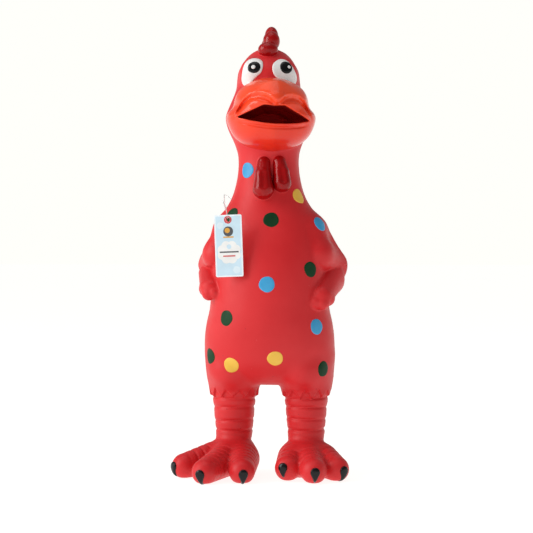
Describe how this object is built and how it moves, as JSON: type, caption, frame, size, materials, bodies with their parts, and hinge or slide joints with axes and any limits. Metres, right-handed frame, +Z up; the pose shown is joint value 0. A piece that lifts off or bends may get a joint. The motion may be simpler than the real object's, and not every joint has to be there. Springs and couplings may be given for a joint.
{
  "type": "rubber chicken",
  "caption": "Standing hollow latex rubber chicken with a long neck, open beak, polka dots, a squeaker in its throat and a card hang tag on a nylon loop.",
  "frame": {"origin": "on the floor, under the middle of the chicken's bounding box", "axes": "+Z up, the chicken faces -Y, its own left is +X"},
  "size_m": [0.1156, 0.0979, 0.2994],
  "materials": {
    "latex_red": "matt to satin moulded latex, red",
    "beak_orange": "glossy orange-red latex paint",
    "comb_red": "glossy dark red latex paint",
    "mouth_maroon": "matt dark maroon paint",
    "eye_white": "glossy white latex paint",
    "gloss_black": "glossy black latex paint",
    "dot_yellow": "satin yellow latex paint",
    "dot_green": "satin dark green latex paint",
    "dot_blue": "satin sky blue latex paint",
    "squeaker_plastic": "moulded white polypropylene",
    "reed_plastic": "thin clear polyester film",
    "tag_card": "coated card, pale blue print",
    "nylon_clear": "clear nylon line"
  },
  "bodies": {
    "torso": {"torso_skin": "latex_red", "left_wing": "latex_red", "right_wing": "latex_red", "tail": "latex_red", "left_thigh_cuff": "latex_red", "right_thigh_cuff": "latex_red", "left_shank": "latex_red", "right_shank": "latex_red", "neck_skin": "latex_red", "neck_dot_yellow": "dot_yellow", "torso_dots_yellow": "dot_yellow", "torso_dots_green": "dot_green", "torso_dots_blue": "dot_blue", "tag_loop_bar": "nylon_clear"},
    "belly": {"belly_panel": "latex_red", "belly_dot_blue": "dot_blue"},
    "head": {"head_skin": "latex_red", "mouth_lining": "mouth_maroon", "upper_beak": "beak_orange", "lower_beak": "beak_orange", "comb": "comb_red", "left_wattle": "comb_red", "right_wattle": "comb_red", "left_eye": "eye_white", "right_eye": "eye_white", "left_pupil": "gloss_black", "right_pupil": "gloss_black", "left_eye_glint": "eye_white", "right_eye_glint": "eye_white", "throat_dot_blue": "dot_blue", "squeaker_housing": "squeaker_plastic", "squeaker_inlet_cap": "squeaker_plastic", "squeaker_reed_bed": "squeaker_plastic", "squeaker_reed_clamp": "squeaker_plastic"},
    "reed": {"squeaker_reed": "reed_plastic"},
    "left_foot": {"left_foot": "latex_red", "left_claws": "gloss_black"},
    "right_foot": {"right_foot": "latex_red", "right_claws": "gloss_black"},
    "tag_loop": {"tag_loop": "nylon_clear"},
    "tag": {"tag": "tag_card"}
  },
  "joints": [
    {"name": "neck_bend", "type": "hinge", "parent": "torso", "child": "head", "pos_m": [0, 0.0064, 0.188], "axis": [1, 0, 0], "range_deg": [-25, 30], "stiffness_Nm_per_rad": 1, "deforming": ["neck_skin", "neck_dot_yellow", "left_wattle", "right_wattle"]},
    {"name": "left_ankle", "type": "hinge", "parent": "torso", "child": "left_foot", "pos_m": [0.0245, 0.0064, 0.037], "axis": [1, 0, 0], "range_deg": [-15, 15], "stiffness_Nm_per_rad": 3, "deforming": ["left_shank"]},
    {"name": "right_ankle", "type": "hinge", "parent": "torso", "child": "right_foot", "pos_m": [-0.0245, 0.0064, 0.037], "axis": [1, 0, 0], "range_deg": [-15, 15], "stiffness_Nm_per_rad": 3, "deforming": ["right_shank"]},
    {"name": "belly_squeeze", "type": "slide", "parent": "torso", "child": "belly", "axis": [0, 1, 0], "range_m": [0, 0.012], "stiffness_N_per_m": 600},
    {"name": "reed_flutter", "type": "hinge", "parent": "head", "child": "reed", "pos_m": [0, 0.00685, 0.20705], "axis": [1, 0, 0], "range_deg": [-5, 1.5], "stiffness_Nm_per_rad": 0.0001},
    {"name": "loop_swing", "type": "hinge", "parent": "torso", "child": "tag_loop", "pos_m": [-0.027, 0.01911, 0.1725], "axis": [0.6919, 0.722, 0], "range_deg": [-25, 0]},
    {"name": "tag_swing", "type": "hinge", "parent": "tag_loop", "child": "tag", "pos_m": [-0.02165, -0.0312, 0.1699], "axis": [0, 1, 0], "range_deg": [-25, 25]}
  ]
}
